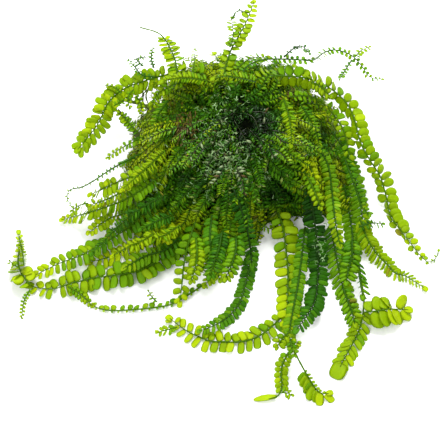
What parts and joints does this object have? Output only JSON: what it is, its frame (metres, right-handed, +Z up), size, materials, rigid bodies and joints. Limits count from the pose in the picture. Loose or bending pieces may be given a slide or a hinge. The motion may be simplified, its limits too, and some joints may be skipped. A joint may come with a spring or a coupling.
{
  "type": "cameroon moss on driftwood",
  "caption": "Clump of aquarium moss: flat leafy fronds trail from a felt of short shoots that covers a small piece of driftwood with a flat underside.",
  "frame": {"origin": "middle of the driftwood's flat underside, on the surface that the clump rests on", "axes": "+Z is up, away from the surface; +X is to the right and +Y to the back as the longest fronds, which trail to the front and the left, are seen from the front"},
  "size_m": [0.1074, 0.1003, 0.028],
  "materials": {
    "driftwood": "matte",
    "moss_mat": "matte",
    "moss_bright": "satin",
    "moss_mid": "satin",
    "moss_dark": "satin"
  },
  "bodies": {
    "root": {"driftwood_trunk": "driftwood", "driftwood_left_limb": "driftwood", "driftwood_left_twig": "driftwood", "driftwood_back_root": "driftwood", "moss_mat": "moss_mat", "back_left_low_frond": "moss_mid", "back_low_frond": "moss_bright", "back_right_low_frond": "moss_mid", "left_hook_frond": "moss_bright", "left_under_frond": "moss_bright", "left_low_frond": "moss_bright", "speckled_frond": "moss_mid", "left_long_frond": "moss_mid", "left_tip_frond": "moss_bright", "left_tip_thread": "moss_mid", "left_middle_lower_frond": "moss_mid", "left_middle_frond": "moss_mid", "left_middle_upper_frond": "moss_bright", "left_wiry_shoot": "moss_dark", "left_short_sprig": "moss_mid", "bottom_sweep_frond": "moss_bright", "bottom_tip_sprig": "moss_bright", "bottom_feeder_frond": "moss_dark", "centre_left_frond": "moss_bright", "centre_middle_frond": "moss_mid", "centre_short_frond": "moss_mid", "centre_drape_frond": "moss_dark", "cross_sprig": "moss_bright", "right_low_column_frond": "moss_dark", "right_low_stem_frond": "moss_dark", "right_tail_frond": "moss_bright", "right_leafy_frond": "moss_bright", "central_fall_frond": "moss_bright", "central_stem_frond": "moss_mid", "fork_left_frond": "moss_bright", "fork_right_frond": "moss_bright", "dark_glossy_frond": "moss_dark", "right_inner_frond": "moss_mid", "right_column_frond": "moss_dark", "right_trailing_frond": "moss_bright", "right_second_frond": "moss_bright", "right_arch_frond": "moss_bright", "left_arch_frond": "moss_bright", "upper_left_frond": "moss_bright", "top_frond": "moss_bright", "top_side_sprig": "moss_bright", "top_leafy_sprig": "moss_bright", "upright_back_sprig": "moss_bright", "back_left_sprig": "moss_dark", "top_wiry_shoot": "moss_mid", "top_loop_shoot": "moss_dark", "top_far_branch": "moss_mid", "top_far_leaf": "moss_bright"}
  },
  "joints": []
}
